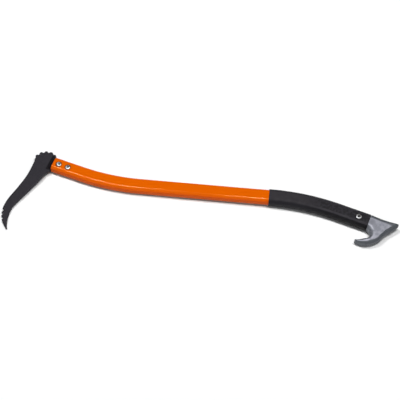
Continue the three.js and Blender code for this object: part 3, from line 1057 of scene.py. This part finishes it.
handled = rubber.around(to_row @ handle_place(handle_length).translation, 0.095, 0.155)
up = rubber.upward()
level = rubber.combine("ABSOLUTE", up, 0.0)
fresh = rubber.mix(rubber.noise(0.012, 4.0), (0.0262, 0.0232, 0.028), (0.0205, 0.0185, 0.0222))
grime = rubber.ramp(rubber.noise(0.005, 4.0), 0.38, 0.62)
grimy = rubber.mix(grime, (0.0085, 0.0078, 0.0096), (0.0205, 0.0185, 0.0235))
flats = rubber.mix(handled, fresh, grimy)
# The walls are painted darker than the flats: painted shade.
walls = rubber.mix(handled, (0.0112, 0.0102, 0.0138), (0.006, 0.0054, 0.0074))
skin = rubber.mix(rubber.ramp(level, 0.75, 0.97), walls, flats)
# The lighter line where a grimy flat starts to round is rubbed, and is also a painted highlight.
rubbed_highlight = rubber.combine("MULTIPLY", rubber.band(level, 0.78, 0.88, 0.96, 0.995), handled)
skin = rubber.mix(rubbed_highlight, skin, rubbed_highlight_line)
# The underside is painted darker still: painted shade.
rubber.paint(rubber.mix(rubber.ramp(up, -0.65, 0.0), shaded_underneath, skin))
rubber.shader.inputs["Specular IOR Level"].default_value = 0.2
rubber.dull_by(rubber.ramp(rubber.noise(0.01), 0.3, 0.7, 0.6, 0.75))
pebbles = rubber.ramp(rubber.cells(0.0022), 0.1, 0.75, 1.0, 0.0)
rubber.relief(pebbles, 0.00025)
wear(grip_sleeve, rubber)

# %% [markdown]
# ## Forged steel
# The head is coated dark and matt over the skin that forging leaves. The coat is mottled, and a
# little thinner in patches: noises of three sizes are mixed for it, because one alone looks like a
# pattern. In the corner beside the tube's end it is painted darkest and hardly shines: painted
# shade, where the tube's end stands over the blade.

# %% Dark forging
forging = Finish("coated_forging", (0.037, 0.033, 0.043), 0.62)
painted_corner_shade = (0.0095, 0.0085, 0.0105)

coat = forging.mix(forging.noise(0.009, 4.0), (0.0228, 0.0192, 0.0268), (0.0152, 0.0148, 0.0184))
patches = forging.ramp(forging.noise(0.0045), 0.36, 0.64)
thin_coat = forging.mix(forging.noise(0.003), (0.0146, 0.0158, 0.022), (0.0236, 0.0186, 0.0238))
coat = forging.mix(patches, coat, thin_coat)
tube_end = to_row @ handle_place(0)
beside_tube = forging.combine(
    "MULTIPLY",
    forging.within(tube_end, (1, 0, 0), 0.0105, 0.0125),
    forging.within(tube_end, (0, 1, 0), 0.0172, 0.02),
)
# The corner beside the tube's end is painted darkest: painted shade.
forging.paint(forging.mix(beside_tube, coat, painted_corner_shade))
forging.gloss_by(forging.ramp(beside_tube, 0.0, 1.0, 0.18, 0.06))
forging.dull_by(forging.ramp(forging.noise(0.004), 0.3, 0.7, 0.52, 0.7))
forging.relief(forging.noise(0.0016, 4.0), 0.0002)
wear(forged_head, forging)

# %% [markdown]
# ## Cast aluminium
# The guard's faces have been ground and are bright. Its rolled edges and walls keep the darker
# skin of the casting. The Geometry node's normal, turned to how much it points up or down, tells
# the two apart on both sides of the guard alike. The notch is painted bright too: painted light,
# as if it fell from the left. The far rim is painted dark: painted shade. The end of the tail
# keeps its dark skin. A face is mottled, with two dull patches, and has an even light edge painted
# where
# it starts to roll over: a painted highlight.

# %% Casting
casting = Finish("cast_aluminium", (0.3, 0.305, 0.34), 0.5, metallic=0.6)
dull_patch, painted_edge_highlight = (0.19, 0.195, 0.225), (0.285, 0.29, 0.325)
guard_place = to_row @ handle_place(handle_length)
notch = guard_place @ Vector((5, -29, 0))

level = casting.combine("ABSOLUTE", casting.upward(), 0.0)
ground_and_painted_light = casting.ramp(level, 0.9, 0.96)
# The notch is painted bright: painted light, as if it fell from the left.
ground_and_painted_light = casting.combine("MAXIMUM", ground_and_painted_light, casting.around(notch, 0.011, 0.02, 0.42))
# The far rim is painted dark: painted shade.
far_rim_shade = casting.ramp(casting.offset(guard_place, (0, 1, 0)), 0.006, 0.0088, 1.0, 0.22)
tail_end = casting.ramp(casting.offset(guard_place, (1, 0, 0)), 0.043, 0.054, 1.0, 0.0)
ground_and_painted_light = casting.combine("MULTIPLY", ground_and_painted_light, casting.combine("MULTIPLY", far_rim_shade, tail_end))
skin = casting.mix(casting.noise(0.004, 4.0), (0.124, 0.134, 0.148), (0.088, 0.096, 0.109))
mottle = casting.ramp(casting.noise(0.011), 0.38, 0.62)
bright = casting.mix(mottle, (0.335, 0.34, 0.385), (0.24, 0.245, 0.28))
for x, y, size in ((6.2, -3, 0.0085), (23, -13, 0.009)):
    patch = casting.around(guard_place @ Vector((x, y, 0)), 0.002, size, 0.6)
    bright = casting.mix(patch, bright, dull_patch)
# An even light edge is painted where a face starts to roll over: a painted highlight.
bright = casting.mix(casting.band(level, 0.92, 0.96, 0.975, 0.998), bright, painted_edge_highlight)
casting.paint(casting.mix(ground_and_painted_light, skin, bright))
casting.dull_by(casting.ramp(casting.noise(0.003), 0.3, 0.7, 0.52, 0.66))
casting.relief(casting.noise(0.0012, 4.0), 0.00025)
wear(cast_guard, casting)

# %% [markdown]
# ## Bright steel
# The pins are zinc plated spring steel: bright, with fine marks from rolling. Metal shows what it
# mirrors, and the back half of each end seems to mirror something dark. This plain studio has
# nothing dark there, so that half is painted darker: a painted reflection.

# %% Zinc
zinc = Finish("zinc_plated_steel", (0.86, 0.87, 0.89), 0.28, metallic=0.6)
bright_zinc, dark_reflection_zinc = (0.9, 0.905, 0.92), (0.32, 0.31, 0.305)
half_shift, half_side = Vector((0.0004, 0.001, 0)), (0.35, 1, 0)

# The back half of each pin's end is painted darker: a painted reflection.
dark_reflection = 0.0
for distance in (*head_pins, guard_pin):
    spot = to_row @ handle_place(distance).translation
    this_pin = zinc.around(spot, 0.007, 0.008)
    from_middle = zinc.offset(Matrix.Translation(spot + half_shift), half_side)
    far_half = zinc.combine("MULTIPLY", this_pin, zinc.ramp(from_middle, -0.0006, 0.001))
    dark_reflection = zinc.combine("MAXIMUM", dark_reflection, far_half)
zinc.paint(zinc.mix(dark_reflection, bright_zinc, dark_reflection_zinc))
zinc.dull_by(zinc.ramp(zinc.noise(0.0015), 0.3, 0.7, 0.24, 0.34))
zinc.relief(zinc.noise(0.0008, 2.0), 0.00003)
for pin in pin_pieces:
    wear(pin, zinc)

# %% Boxes and finish
own_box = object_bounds()
corners = zip((*cad_box[0], *cad_box[1]), (*own_box[0], *own_box[1]))
print("box moved by", [round((own - cad) / mm, 2) for cad, own in corners], "mm")
